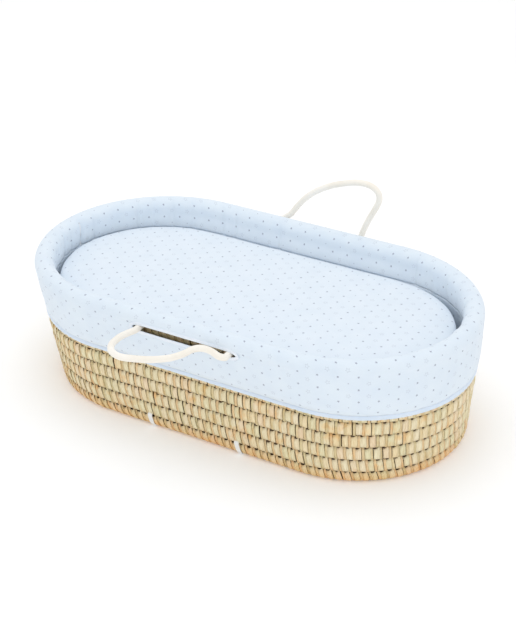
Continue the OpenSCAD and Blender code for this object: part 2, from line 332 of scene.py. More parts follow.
palm_leaf, shader = new_material("dry palm leaf")
tree = palm_leaf.node_tree
tone = node(tree, "ShaderNodeAttribute", attribute_name="tone")
leaf_tones = [
    (0.0, 244, 217, 170), (0.18, 238, 211, 168), (0.34, 222, 211, 167), (0.5, 245, 227, 184),
    (0.62, 245, 234, 202), (0.8, 236, 230, 192), (0.92, 247, 237, 207), (1.0, 244, 223, 190)]
leaf = ramp(tree, tone.outputs["Fac"], [(at, linear(*colour)) for at, *colour in leaf_tones])
place = node(tree, "ShaderNodeTexCoord")
stretch = node(tree, "ShaderNodeMapping", in_3=(1, 0.06, 1))
tree.links.new(place.outputs["UV"], stretch.inputs[0])
streak = node(tree, "ShaderNodeTexNoise", in_2=900.0, in_3=4.0, in_4=0.6)
tree.links.new(stretch.outputs[0], streak.inputs["Vector"])
darker = blend_colour(tree, 1.0, leaf, (0.74, 0.64, 0.50, 1), "MULTIPLY")
leaf = blend_colour(tree, mask(tree, streak.outputs["Fac"], 0.36, 0.7), leaf, darker)
blotch = node(tree, "ShaderNodeTexNoise", in_2=38.0, in_3=3.0)
tree.links.new(place.outputs["Object"], blotch.inputs["Vector"])
warmer = blend_colour(tree, 1.0, leaf, (1.0, 0.80, 0.56, 1), "MULTIPLY")
leaf = blend_colour(tree, mask(tree, blotch.outputs["Fac"], 0.56, 0.74), leaf, warmer)
apart = node(tree, "ShaderNodeSeparateXYZ")
tree.links.new(place.outputs["Object"], apart.inputs[0])
low_down = node(tree, "ShaderNodeMapRange", in_1=0.03, in_2=0.004)
tree.links.new(apart.outputs["Z"], low_down.inputs[0])
browner = blend_colour(tree, 1.0, leaf, (0.97, 0.74, 0.50, 1), "MULTIPLY")
leaf = blend_colour(tree, low_down.outputs[0], leaf, browner)
# Painted shade: points with a tone below -0.5, the backing ring behind the folds, get a flat dark brown that
# stands for the shadow in the gaps between the folds.
behind = node(tree, "ShaderNodeMath", operation="LESS_THAN", in_1=-0.5)
tree.links.new(tone.outputs["Fac"], behind.inputs[0])
leaf = blend_colour(tree, behind.outputs[0], leaf, linear(84, 56, 24))
tree.links.new(leaf, shader.inputs["Base Color"])
matt = ramp(tree, streak.outputs["Fac"], [(0.3, (0.45, 0.45, 0.45, 1)), (0.8, (0.68, 0.68, 0.68, 1))])
tree.links.new(matt, shader.inputs["Roughness"])
roughen(tree, shader, streak.outputs["Fac"], 0.5, 0.0006)

slants = [0.55, 0.3, 0.16, 0.08, 0.04, 0.04, 0.04, 0.04, 0.04]
for k in range(course_n):
    base_z = course_boxes[k][0].z

    def on_course(fraction, up, proud, base_z=base_z):
        return on_wall(fraction, np.clip(base_z + up, 0.0004, None), proud)

    turn_mesh = plait(f"plait_turn_{k + 1}", k, cell_n, on_course, course_h, slants[k], palm_t)
    turn = new_object(turn_mesh.name, turn_mesh)
    turn.data.materials.append(palm_leaf)
    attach(turn, "basket")
    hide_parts(f"palm_course_{k + 1}")


# ---- Woven base ------------------------------------------------------------------------------
# The same plait, coiled flat from the middle outwards and sewn into an oval that stands on the ground.
base_low, base_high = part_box("palm_base")
ring_n = 8
ring_h = base_high.y / ring_n
base_cell = 0.0157


def under_base(m):
    """A place function for ring m of the base, which lies flat and faces the ground."""
    def place(fraction, up, proud):
        side = np.clip((ring_n - m) * ring_h - 0.0015 - up, 0.0008, None)
        point, _ = oval(fraction, side, base_low.x + base_high.y - side, base_high.x - base_high.y + side)
        z = np.broadcast_to(np.clip(0.0022 - proud, 0.0003, None), point.shape[:-1])
        return np.concatenate([point, z[..., None]], -1)
    return place


for m in range(ring_n):
    middle = (ring_n - m - 0.5) * ring_h
    length = 2 * (base_high.x - base_low.x - 2 * base_high.y) + 2 * np.pi * middle
    cells = int(length / base_cell)
    ring_mesh = plait(f"base_ring_{m + 1}", m, cells, under_base(m), ring_h, 0.1, base_high.z - 0.0024)
    ring = new_object(ring_mesh.name, ring_mesh)
    ring.data.materials.append(palm_leaf)
    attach(ring, "basket")
    if m == 0:
        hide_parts("palm_base")


# ---- Cotton liner: inner side ----------------------------------------------------------------
# A padded cotton bag lines the basket. Its side stands against the wall inside, gathered a little at the two
# round ends, and runs up into the roll. The cloth is printed with small stars.
slot_z = 0.213
slot_half_l = 0.102
slot_half_h = 0.0066
cloth_t = 0.0016
around_n = 720
rim_low, rim_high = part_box("liner_rim_roll")
around = np.arange(around_n) / around_n
gather_random = np.random.default_rng(21)
gather_turns = gather_random.integers(34, 120, 26)
gather_phase = gather_random.uniform(0, 2 * np.pi, 26)
gather_weight = gather_random.normal(0, 1, 26)
fold_at = np.concatenate([np.linspace(0.10, 0.41, 15), np.linspace(0.575, 0.90, 17), [0.46, 0.53, 0.95, 0.03]])
fold_at = fold_at + gather_random.normal(0, 0.006, len(fold_at))
fold_deep = gather_random.uniform(0.25, 1.0, len(fold_at)) ** 1.5


def cloth_point(fraction, inset, z, proud=0.0):
    """Points at a height on the oval that lies inset from the rim's widest line at side, head and foot, each a
    last axis of inset, stood out by proud."""
    inset = np.asarray(inset)
    side, head, foot = np.moveaxis(inset, -1, 0)
    point, out = oval(fraction, rim_high.y - side, rim_low.x + head, rim_high.x - foot)
    z, proud = np.broadcast_to(z, point.shape[:-1]), np.broadcast_to(proud, point.shape[:-1])
    return np.concatenate([point + out * proud[..., None], z[..., None]], -1)


def inset_at(z, heights, side, head, foot):
    """Side, head and foot insets in metres at heights, by straight lines between tables in millimetres."""
    return np.stack([np.interp(z * 1000, heights, table) / 1000 for table in (side, head, foot)], -1)


def gathers(fraction):
    """Vertical gathers round the oval, about one high: soft puffs, which are a sum of cosines with whole turns
    and random phases, strong at the two ends, less narrow folds of random depth, each a bell curve."""
    waves = gather_weight * np.cos(2 * np.pi * fraction[..., None] * gather_turns + gather_phase)
    wave = waves.sum(-1) / len(gather_turns) ** 0.5
    _, out = oval(fraction, rim_high.y, rim_low.x, rim_high.x)
    ends = 0.22 + 0.78 * np.abs(out[..., 0]) ** 0.8
    apart = (fraction[..., None] - fold_at + 0.5) % 1.0 - 0.5
    narrow = (fold_deep * np.exp(-(apart / 0.0011) ** 2)).sum(-1)
    broad = (fold_deep * np.exp(-(apart / 0.006) ** 2)).sum(-1)
    return 0.42 * wave * ends + 0.5 - 1.3 * narrow - 0.7 * broad


def run_length(inset_side):
    """Length round the oval at a side inset, in metres."""
    side = rim_high.y - inset_side
    return 2 * (rim_high.x - rim_low.x - 2 * rim_high.y) + 2 * np.pi * side


def rise_of(rows):
    """How far up the cloth each row of points lies, in metres, measured at the middle of the front."""
    return np.concatenate([[0], np.cumsum(np.linalg.norm(np.diff(rows[:, 0], axis=0), axis=-1))])


def cloth_mesh(name, rows, faces, rise):
    """A sheet from rows of points round the oval, with a uv in metres along and up the cloth."""
    n = rows.shape[1]
    i, j = np.divmod(faces, n)
    column = j + n * ((j == 0) & (faces[:, [0]] % n == n - 1))
    uv = np.stack([column / n * run_length(0.0), rise[i]], -1)
    return mesh_from(name, rows.reshape(-1, 3), faces, uv.reshape(-1, 2))


def thicken(piece, thickness, offset=-1.0):
    """Gives a sheet its thickness with a live Solidify."""
    solid = piece.modifiers.new("thickness", "SOLIDIFY")
    solid.thickness = thickness
    solid.offset = offset


def chain(tree, operation, *values):
    """A math node over sockets and numbers."""
    made = node(tree, "ShaderNodeMath", operation=operation)
    for k, value in enumerate(values):
        if isinstance(value, bpy.types.NodeSocket):
            tree.links.new(value, made.inputs[k])
        else:
            made.inputs[k].default_value = value
    return made.outputs[0]


def new_group(name, inputs, outputs):
    """An empty shader node group with its sockets, given as (name, kind) pairs, and its two end nodes."""
    group = bpy.data.node_groups.new(name, "ShaderNodeTree")
    for way, sockets in (("INPUT", inputs), ("OUTPUT", outputs)):
        for label, kind in sockets:
            group.interface.new_socket(label, in_out=way, socket_type=f"NodeSocket{kind}")
    return group, group.nodes.new("NodeGroupInput"), group.nodes.new("NodeGroupOutput")


def star_group():
    """A shader node group: where a printed mark lies on cloth, and how faint it is. The cloth is laid out in
    a lattice of cells, each turned and sized at random. In one lattice every cell has a filled five-pointed
    star. In the one between, a cell has an outlined star or a dot. A star's edge is the straight line from
    its tip to its notch, folded ten times round its middle."""
    group, start, end = new_group("star print", [("Cloth", "Vector")], [("Mark", "Float")])

    def op(operation, *values):
        return chain(group, operation, *values)

    parts = node(group, "ShaderNodeSeparateXYZ")
    group.links.new(start.outputs[0], parts.inputs[0])
    marks = []
    filled_r, outlined_r, dot_r = 0.0027, 0.0040, 0.0011
    pitch_x, pitch_y = 0.033, 0.0245
    tip_turn = math.radians(67.4)
    tip_share = 0.384
    for shift in (0.0, 0.5):
        across = op("ADD", op("DIVIDE", parts.outputs[0], pitch_x), shift)
        up = op("ADD", op("DIVIDE", parts.outputs[1], pitch_y), shift)
        cell = node(group, "ShaderNodeCombineXYZ")
        group.links.new(op("FLOOR", across), cell.inputs[0])
        group.links.new(op("FLOOR", up), cell.inputs[1])
        cell.inputs[2].default_value = shift + 3
        chance = node(group, "ShaderNodeTexWhiteNoise", noise_dimensions="3D")
        group.links.new(cell.outputs[0], chance.inputs["Vector"])
        x = op("MULTIPLY", op("SUBTRACT", op("FRACT", across), 0.5), pitch_x)
        y = op("MULTIPLY", op("SUBTRACT", op("FRACT", up), 0.5), pitch_y)
        from_middle = op("SQRT", op("ADD", op("MULTIPLY", x, x), op("MULTIPLY", y, y)))
        turn = op("ADD", op("ARCTAN2", y, x), op("MULTIPLY", chance.outputs[0], 6.28))
        fold = op("PINGPONG", turn, math.pi / 5)
        reach = op("MULTIPLY", from_middle, op("COSINE", op("SUBTRACT", fold, tip_turn)))
        if shift == 0.0:
            marks.append(op("LESS_THAN", reach, tip_share * filled_r))
            continue
        ring = op("ABSOLUTE", op("SUBTRACT", reach, tip_share * outlined_r))
        outline = op("MULTIPLY", op("LESS_THAN", ring, 0.00030), 0.42)
        dot = op("MULTIPLY", op("LESS_THAN", from_middle, dot_r), 0.7)
        is_dot = op("GREATER_THAN", chance.outputs[0], 0.55)
        is_star = op("SUBTRACT", 1.0, is_dot)
        marks.append(op("ADD", op("MULTIPLY", dot, is_dot), op("MULTIPLY", outline, is_star)))
    group.links.new(op("MAXIMUM", *marks), end.inputs[0])
    return group


def weave_group():
    """A shader node group: the height and shade of a plain weave, as two crossed sets of rounded threads on
    a cloth vector, with slubs from noise. Beyond the thread scale only a soft mottling is left."""
    group, start, end = new_group("plain weave", [("Cloth", "Vector"), ("Threads per metre", "Float")],
        [("Height", "Float"), ("Mottle", "Float")])

    def op(operation, *values):
        return chain(group, operation, *values)

    parts = node(group, "ShaderNodeSeparateXYZ")
    group.links.new(start.outputs[0], parts.inputs[0])
    u = op("MULTIPLY", parts.outputs[0], start.outputs[1])
    v = op("MULTIPLY", parts.outputs[1], start.outputs[1])
    along, across = (op("SINE", op("MULTIPLY", place, math.pi)) for place in (u, v))
    warp = op("MULTIPLY", along, across)
    slub = node(group, "ShaderNodeTexNoise", in_2=240.0, in_3=3.0)
    group.links.new(start.outputs[0], slub.inputs["Vector"])
    height = op("ADD", op("ABSOLUTE", warp), slub.outputs["Fac"])
    group.links.new(height, end.inputs[0])
    mottle = node(group, "ShaderNodeTexNoise", in_2=26.0, in_3=4.0)
    group.links.new(start.outputs[0], mottle.inputs["Vector"])
    group.links.new(mottle.outputs["Fac"], end.inputs[1])
    return group


stars = star_group()
weave = weave_group()


def cotton(name, colour, shade, printed, from_object=False, threads=1600, sheen=0.25):
    """Woven cotton in a colour with a second shade mottled in, a thread bump and, if asked, the star print."""
    material, shader = new_material(name)
    tree = material.node_tree
    place = node(tree, "ShaderNodeTexCoord")
    cloth = place.outputs["Object" if from_object else "UV"]
    threads_node = node(tree, "ShaderNodeGroup", node_tree=weave)
    threads_node.inputs[1].default_value = threads
    tree.links.new(cloth, threads_node.inputs[0])
    tint = blend_colour(tree, mask(tree, threads_node.outputs[1], 0.35, 0.7), colour, shade)
    if printed:
        mark = node(tree, "ShaderNodeGroup", node_tree=stars)
        tree.links.new(cloth, mark.inputs[0])
        tint = blend_colour(tree, mark.outputs[0], tint, linear(166, 173, 190))
    tree.links.new(tint, shader.inputs["Base Color"])
    shader.inputs["Roughness"].default_value = 0.85
    shader.inputs["Sheen Weight"].default_value = sheen
    shader.inputs["Sheen Roughness"].default_value = 0.5
    roughen(tree, shader, threads_node.outputs[0], 0.25, 0.0003)
    return material


blue_print = cotton("pale blue printed cotton", linear(226, 237, 247), linear(221, 233, 245), True)
seam_z = 0.186
side_z = np.concatenate([np.linspace(0.0085, 0.15, 12), np.linspace(0.155, seam_z, 8)])
inner_heights = [12, 115, 151, 175, 190, 200, 207, 213]
inner_side = [43.5, 43.5, 43.5, 42.3, 40.3, 37.8, 35.6, 34.2]
inner_head = [55, 30.5, 30.5, 31.4, 32.6, 33.6, 34.0, 34.2]
inner_foot = [29, 21.5, 21.5, 24.5, 28.5, 31.2, 33.2, 34.2]
side_inset = inset_at(side_z, inner_heights, inner_side, inner_head, inner_foot)
fullness = np.interp(side_z, [0.0, 0.12, 0.17, 0.2], [0.0003, 0.0004, 0.0012, 0.0016])[:, None]
side_rows = cloth_point(around[None], side_inset[:, None], side_z[:, None], -fullness * gathers(around)[None])
side_faces = grid_faces(len(side_z), around_n, True)
liner_side = new_object("liner_side", cloth_mesh("liner_side", side_rows, side_faces, rise_of(side_rows)))
liner_side.data.materials.append(blue_print)
thicken(liner_side, cloth_t, 1.0)
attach(liner_side, "basket")
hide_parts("liner_side")


# ---- Cotton liner: floor ---------------------------------------------------------------------
# An oval of the same cloth, sewn into the bottom of the bag, lies on the woven base.
floor_low, floor_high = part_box("liner_floor")
fill_rows = np.array([1.0, 0.97, 0.9, 0.75, 0.5, 0.25, 0.02])[:, None]
half_w = floor_high.y
moved_in = half_w * (1 - fill_rows)
floor_point, _ = oval(around[None, ::4], half_w * fill_rows, floor_low.x + moved_in, floor_high.x - moved_in)
crease = 0.0001 * np.sin(floor_point[..., :1] * 90) * np.sin(floor_point[..., 1:] * 70)
floor_rows = np.concatenate([floor_point, floor_low.z + 0.0004 + np.abs(crease)], -1).reshape(-1, 3)
faces = grid_faces(len(fill_rows), around_n // 4, True)
floor_sheet = mesh_from("liner_floor_cloth", floor_rows, faces, floor_rows[faces.ravel(), :2])
floor_cloth = new_object("liner_floor_cloth", floor_sheet)
floor_cloth.data.materials.append(blue_print)
thicken(floor_cloth, 0.001, 1.0)
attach(floor_cloth, "basket")
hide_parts("liner_floor")


# ---- Wadding over the rim --------------------------------------------------------------------
# A thick roll of polyester wadding is folded over the wall's top edge, which makes the rim soft and round. The
# liner's cloth covers it.
roll_z = 0.222
roll_half = 0.017
roll_rise = rim_high.z - roll_z
turn = np.radians(np.linspace(12, 180, 24))
under = 0.0021
wall_inset = [0.0318, 0.0272, 0.0272, 0.0068, 0.0068]
wall_height = [0.2040, 0.2040, 0.2298, 0.2298, 0.2256]
wadding_inset = np.concatenate([roll_half - (roll_half - under) * np.cos(turn), wall_inset])
wadding_height = np.concatenate([roll_z + (roll_rise - under) * np.sin(turn), wall_height])
half_round = around[None, ::2]
fluff = 0.0002 * np.sin(2 * np.pi * half_round * 61) * np.sin(2 * np.pi * half_round * 17)
three_insets = np.repeat(wadding_inset[:, None, None], 3, -1)
wadding_rows = cloth_point(half_round, three_insets, wadding_height[:, None] + fluff)
count = around_n // 2
faces = grid_faces(len(wadding_inset) + 1, count, True) % (len(wadding_inset) * count)
rim_wadding = new_object("rim_wadding_roll", mesh_from("rim_wadding_roll", wadding_rows.reshape(-1, 3), faces))
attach(rim_wadding, "basket")
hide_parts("rim_wadding")


# ---- Cotton liner: rim and skirt -------------------------------------------------------------
# From a seam below the mattress top the cloth runs up over the wadding, where it is gathered at the round
# ends, and hangs outside as a skirt over the upper part of the wall. Each long side of the skirt has a slot
# for the handle, cut along its middle height and left open.
def slot_open(x):
    """Half the slot's height at a distance from its middle: a flat oval with drawn-in ends."""
    return slot_half_h * np.clip(1 - np.clip(np.abs(x) / slot_half_l, 0, 1) ** 10, 0, 1) ** 0.6


skirt_heights = [139, 143, 150, 163, 178, 192, 205, 213, 218, 222]
skirt_side = [22.3, 17.5, 13.2, 9.0, 5.6, 3.6, 2.3, 1.5, 0.8, 0.2]
skirt_head = [13.8, 13.2, 12.7, 11.6, 8.2, 5.2, 3.2, 2.0, 1.0, 0.2]
skirt_foot = [4.8, 3.6, 2.4, 1.4, 0.9, 0.6, 0.5, 0.4, 0.3, 0.2]
cut = 0.00005
lower_z = np.concatenate([
    np.linspace(0.1385, 0.15, 6), np.linspace(0.153, 0.19, 9), np.linspace(0.193, slot_z - cut, 9)])
upper_z = np.linspace(slot_z + cut, roll_z - 0.0006, 6)
outer_z = np.concatenate([lower_z, upper_z])
outer_inset = inset_at(outer_z, skirt_heights, skirt_side, skirt_head, skirt_foot)
over = np.radians(np.linspace(4, 176, 30))
over_inset = np.repeat((roll_half - roll_half * np.cos(over))[:, None], 3, 1)
over_z = roll_z + roll_rise * np.sin(over)
inner_z = np.linspace(0.2185, seam_z + 0.0002, 12)
inner_inset = inset_at(inner_z, inner_heights, inner_side, inner_head, inner_foot)
row_inset = np.concatenate([outer_inset, over_inset, inner_inset])
row_z = np.concatenate([outer_z, over_z, inner_z])[:, None]
on_outside = (np.arange(len(row_z)) < len(outer_z))[:, None]
none_outside, all_inside = np.zeros(len(outer_z)), np.ones(len(inner_z))
over_puff = np.interp(over, [0, 0.8, 1.7, 2.5, math.pi], [0, 0.0002, 0.0007, 0.0019, 0.0020])
puff = np.concatenate([none_outside, over_puff, 0.0020 * all_inside])[:, None]
level = cloth_point(around[None], row_inset[:, None], row_z)
on_side = on_outside & (np.abs(level[..., 1]) > rim_high.y - 0.03)
near = np.clip(1 - np.abs(row_z - slot_z) / np.where(row_z < slot_z, 0.024, 0.0100), 0, 1)
shift = np.sign(row_z - slot_z) * slot_open(level[..., 0]) * near * on_side
fade = np.exp(-(level[..., 0] / 0.20) ** 4)
dip = -0.0012 * np.exp(-((row_z - slot_z - 0.002) / 0.0030) ** 2) * fade * on_side
ripple = np.sin(2 * np.pi * around * 23) * np.sin(2 * np.pi * around * 7 + 1)
soft = 0.0006 * ripple[None] * np.clip((slot_z - row_z) / 0.03, 0, 1) * on_outside
tucks = 0.0006 * gathers((around * 3) % 1.0)[None] * np.clip((0.158 - row_z) / 0.02, 0, 1) * on_outside
gathered = gathers(around)[None]
in_share = np.interp(over, [0, 1.57, math.pi], [1, 0.3, 1])
lean_in = np.concatenate([1 + none_outside, in_share, all_inside])[:, None]
sunk = np.concatenate([none_outside, np.sin(over), 0 * all_inside])[:, None]
cover_z = row_z + shift + 0.6 * sunk * puff * (gathered - 0.5)
cover_out = dip + soft + tucks - lean_in * puff * gathered
cover_rows = cloth_point(around[None], row_inset[:, None], cover_z, cover_out)
faces = grid_faces(len(row_z), around_n, True)
at_slot = (faces // around_n).min(1) == len(lower_z) - 1
corners = np.abs(level.reshape(-1, 3)[faces])
inside_slot = at_slot & (corners[..., 0].max(1) < slot_half_l) & (corners[..., 1].min(1) > rim_high.y - 0.03)
rise = rise_of(level)
cover = new_object("liner_cover", cloth_mesh("liner_cover", cover_rows, faces[~inside_slot], rise))
cover.data.materials.append(blue_print)
thicken(cover, cloth_t, -1.0)
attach(cover, "basket")
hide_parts("liner_rim_roll", "skirt_upper", "skirt_lower")


# ---- Hem -------------------------------------------------------------------------------------
# The skirt's lower edge is turned up round a flat elastic, which draws it in under the skirt.
def squarer(wave, power):
    """A sine or cosine with its flanks made steeper, by a power below one of its size."""
    return np.sign(wave) * np.abs(wave) ** power


hem_low, hem_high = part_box("hem_channel")
blue_plain = cotton("plain blue cotton", linear(220, 232, 246), linear(212, 227, 244), False)
hem_turn = np.radians(np.arange(0, 360, 30))
hem_z = (hem_low.z + hem_high.z) / 2 + (hem_high.z - hem_low.z) / 2 * squarer(np.sin(hem_turn), 0.7)
hem_out = 0.0021 * squarer(np.cos(hem_turn), 0.7) - 0.0016
pucker = 0.0005 * np.cos(2 * np.pi * around * 190) * (0.5 + 0.5 * np.sin(2 * np.pi * around * 13))
pucker = pucker + 0.0005 * gathers((around * 2) % 1.0)
hem_inset = np.broadcast_to(np.array([24.2, 12.4, 4.6]) / 1000, (12, 1, 3))
hem_rows = cloth_point(around[None], hem_inset, hem_z[:, None], hem_out[:, None] + pucker[None])
hem_rows = np.roll(hem_rows[::-1], 1, axis=0)
faces = grid_faces(13, around_n, True) % (12 * around_n)
hem_uv = np.stack([(faces % around_n) / around_n * 2.2, (faces // around_n) * 0.002], -1).reshape(-1, 2)
hem = new_object("hem_band", mesh_from("hem_band", hem_rows.reshape(-1, 3), faces, hem_uv))
hem.data.materials.append(blue_plain)
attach(hem, "basket")
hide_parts("hem_channel")


# ---- Slot bindings ---------------------------------------------------------------------------
# Each slot's raw edge is bound with a folded strip of white cotton, sewn flat on the skirt.
white_binding = cotton("white cotton binding", linear(236, 242, 250), linear(222, 234, 248), False)
loop = 2 * np.pi * np.arange(160) / 160
band_turn = np.radians(np.arange(0, 360, 36))
for side, name in ((-1, "front"), (1, "back")):
    x = slot_half_l * np.cos(loop)
    z = slot_z + np.sign(np.sin(loop)) * slot_open(x)
    tangent = np.stack([np.roll(x, -1) - np.roll(x, 1), np.roll(z, -1) - np.roll(z, 1)], -1)
    tangent /= np.linalg.norm(tangent, axis=-1, keepdims=True)
    outward = np.stack([tangent[:, 1], -tangent[:, 0]], -1)
    wide = 0.0021 + 0.0031 * np.cos(band_turn)[:, None]
    thick = 0.0011 * np.sin(band_turn)[:, None] + 0.0006 + 0.00015 * np.sin(9 * loop)[None]
    face_y = rim_high.y - np.interp(z * 1000, skirt_heights, skirt_side)[None] / 1000
    px = x[None] + wide * outward[None, :, 0]
    pz = z[None] + wide * outward[None, :, 1]
    rows = np.stack([px, side * (face_y + thick), pz], -1)
    faces = grid_faces(11, 160, True) % (10 * 160)
    faces = faces if side < 0 else faces[:, ::-1]
    uv = np.stack([(faces % 160) * 0.0026, (faces // 160) * 0.0012], -1).reshape(-1, 2)
    edge = new_object(f"slot_edge_{name}", mesh_from(f"slot_edge_{name}", rows.reshape(-1, 3), faces, uv))
    edge.data.materials.append(white_binding)
    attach(edge, "basket")
    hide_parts(f"slot_binding_{name}")


# ---- Straps ----------------------------------------------------------------------------------
# Two white cotton tapes carry the basket. Each runs under the base, comes up outside the lowest turn of the
# wall, goes in through it and on up inside, and ends in the handle cords.
white_tape = cotton("white cotton tape", linear(240, 240, 238), linear(226, 226, 222), False, threads=900)
tape_w = 0.0092
tape_t = 0.0017


def capped_tube(name, rings, uv):
    """A smooth tube from rings of points, closed by a face on each end, with uv in metres for its sides."""
    rows, sides = rings.shape[:2]
    faces = grid_faces(rows, sides, True)
    ends = np.array([np.arange(sides)[::-1], (rows - 1) * sides + np.arange(sides)])
    mesh = bpy.data.meshes.new(name)
    mesh.from_pydata(rings.reshape(-1, 3).tolist(), [], faces.tolist() + ends.tolist())
    mesh.polygons.foreach_set("use_smooth", np.ones(len(mesh.polygons), bool))
    uv = np.concatenate([uv.reshape(-1, 2), np.zeros((2 * sides, 2))]).astype(np.float32)
    mesh.uv_layers.new(name="cloth").data.foreach_set("uv", uv.ravel())
    return mesh


def ribbon(name, path, width, thickness, across):
    """A flat tape swept along a path of points, width wide along across, with rounded edges. Each ring is a
    ten-cornered oval standing square to the path."""
    tangent = np.gradient(path, axis=0)
    tangent /= np.linalg.norm(tangent, axis=1, keepdims=True)
    up = np.cross(across, tangent)
    up /= np.linalg.norm(up, axis=1, keepdims=True)
    ring_turn = np.radians(np.arange(0, 360, 36))
    c = squarer(np.cos(ring_turn), 0.5) * width / 2
    s = np.sin(ring_turn) * thickness / 2
    rings = path[:, None] + c[None, :, None] * np.cross(tangent, up)[:, None] + s[None, :, None] * up[:, None]
    faces = grid_faces(len(path), 10, True)
    along = np.concatenate([[0], np.cumsum(np.linalg.norm(np.diff(path, axis=0), axis=1))])
    return capped_tube(name, rings, np.stack([along[faces // 10], (faces % 10) * width / 5], -1))


wall_2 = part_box("palm_course_2")[1].y
wall_1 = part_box("palm_course_1")[1].y
for end, tilt in (("head", 0.0030), ("foot", 0.0034)):
    low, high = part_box(f"base_strap_{end}")
    middle = (low.x + high.x) / 2
    side_y = np.array([
        wall_2 - 0.008, wall_2 - 0.002, wall_2 + 0.0016, wall_2 + 0.0028, wall_1 + 0.0030, wall_1 + 0.0022,
        wall_1 - 0.0015, wall_1 - 0.0080, wall_1 - 0.0220])
    side_z = np.array([0.0268, 0.0268, 0.0256, 0.0225, 0.0150, 0.0090, 0.0035, 0.0013, 0.0011])
    side_x = tilt * np.array([-1, -1, -0.9, -0.7, 0.0, 0.5, 0.9, 1.0, 0.9])
    fine = np.linspace(0, 8, 33)
    y, z, x = (np.interp(fine, np.arange(9), column) for column in (side_y, side_z, side_x))
    soften = np.array([0.25, 0.5, 0.25])
    y[1:-1], z[1:-1] = np.convolve(y, soften, "valid"), np.convolve(z, soften, "valid")
    front = np.stack([middle + x, -y, z], -1)
    back = np.stack([middle - x, y, z], -1)[::-1]
    bridge_y = np.linspace(-wall_1 + 0.04, wall_1 - 0.04, 12)
    bridge = np.stack([np.full(12, middle), bridge_y, np.full(12, 0.0011)], -1)
    tape_path = np.concatenate([front, bridge, back])
    tape = new_object(f"base_tape_{end}", ribbon(f"base_tape_{end}", tape_path, tape_w, tape_t, (1, 0, 0)))
    tape.data.materials.append(white_tape)
    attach(tape, "basket")
    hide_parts(f"base_strap_{end}")


# ---- Handles ---------------------------------------------------------------------------------
# Each handle is a loop of soft rope in a smooth cream cover. Its ends come out through the slot and the wall's
# top turn, where the straps hold them. The front loop lies out to the side; the back one stands up.
cord_r = 0.00575
front_pivot, back_pivot = (
    np.array(next(joint for joint in frame["joints"] if joint["name"] == name)["pos_m"])
    for name in ("front_handle_swing", "back_handle_swing"))
front_tilt = math.radians(10)
front_route = np.array([
    [-88, 0, 0], [-91, 17.5, 0], [-91, 34, 0], [-88, 50, 0], [-84, 67, 0], [-76, 83, 0], [-62, 99, 0],
    [-41, 106, 0], [-18, 97, 0], [3, 82, 0], [19, 61, 0], [26, 47.5, 1], [32, 33.5, 3], [37, 17, 6.5],
    [46, 7, 8.5], [58, 5, 9], [70, 6, 7.5], [81, 5.5, 3.5], [88, 0, 0]]) / 1000
back_route = np.array([
    [-88, 0, 0], [-76, 9, 0], [-58, 24, 0], [-43, 45, 0], [-24, 67, 0], [0, 86, 0], [27, 101, 0],
    [55, 112, 0], [82, 119, 0], [106, 118, 0], [121, 108, 0], [124, 93, 0], [117, 75, 0], [106, 53, 0],
    [97, 32, 0], [91, 15, 0], [88, 0, 0]]) / 1000


def smooth_route(points, per_gap):
    """A smooth curve through points: a Catmull-Rom cubic between each two of them."""
    padded_points = np.concatenate([points[:1], points, points[-1:]])
    t = (np.arange(per_gap) / per_gap)[None, :, None]
    p, q, r, s = (padded_points[k:len(points) - 1 + k, None] for k in range(4))
    square, cube = (2 * p - 5 * q + 4 * r - s) * t ** 2, (3 * q - p - 3 * r + s) * t ** 3
    curve = 0.5 * (2 * q + (r - p) * t + square + cube)
    return np.concatenate([curve.reshape(-1, 3), points[-1:]])


def rope(name, path, radius, sides=16):
    """A round cord swept along a path with domed ends, its rings carried from one to the next without twist.
    The uv is metres along and round the cord."""
    tangent = np.gradient(path, axis=0)
    tangent /= np.linalg.norm(tangent, axis=1, keepdims=True)
    first = np.cross(tangent[0], (0, 0, 1))
    normals = [first / np.linalg.norm(first)]
    for direction in tangent[1:]:
        carried = normals[-1] - direction * (normals[-1] @ direction)
        normals.append(carried / np.linalg.norm(carried))
    normals = np.array(normals)
    dome = np.radians([85, 60, 30])
    dome_out = radius * np.sin(dome)[:, None]
    centres = np.concatenate([
        path[:1] - tangent[:1] * dome_out, path, (path[-1:] + tangent[-1:] * dome_out)[::-1]])
    normals = np.concatenate([normals[:1].repeat(3, 0), normals, normals[-1:].repeat(3, 0)])
    tangents = np.concatenate([tangent[:1].repeat(3, 0), tangent, tangent[-1:].repeat(3, 0)])
    radii = np.concatenate([radius * np.cos(dome), np.full(len(path), radius), radius * np.cos(dome)[::-1]])
    turn_round = 2 * np.pi * np.arange(sides) / sides
    other = np.cross(tangents, normals)
    across, up = np.cos(turn_round)[None, :, None], np.sin(turn_round)[None, :, None]
    spoke = across * normals[:, None] + up * other[:, None]
    rings = centres[:, None] + radii[:, None, None] * spoke
    faces = grid_faces(len(centres), sides, True)
    along = np.concatenate([[0], np.cumsum(np.linalg.norm(np.diff(centres, axis=0), axis=1))])
    column = faces % sides + sides * ((faces % sides == 0) & (faces[:, [0]] % sides == sides - 1))
    return capped_tube(name, rings, np.stack([along[faces // sides], column * 2 * np.pi * radius / sides], -1))


def in_handle(route, pivot, outward, upward):
    """Route points of a handle's own plane as points in the frame."""
    return pivot + route @ np.array([(1, 0, 0), outward, upward])


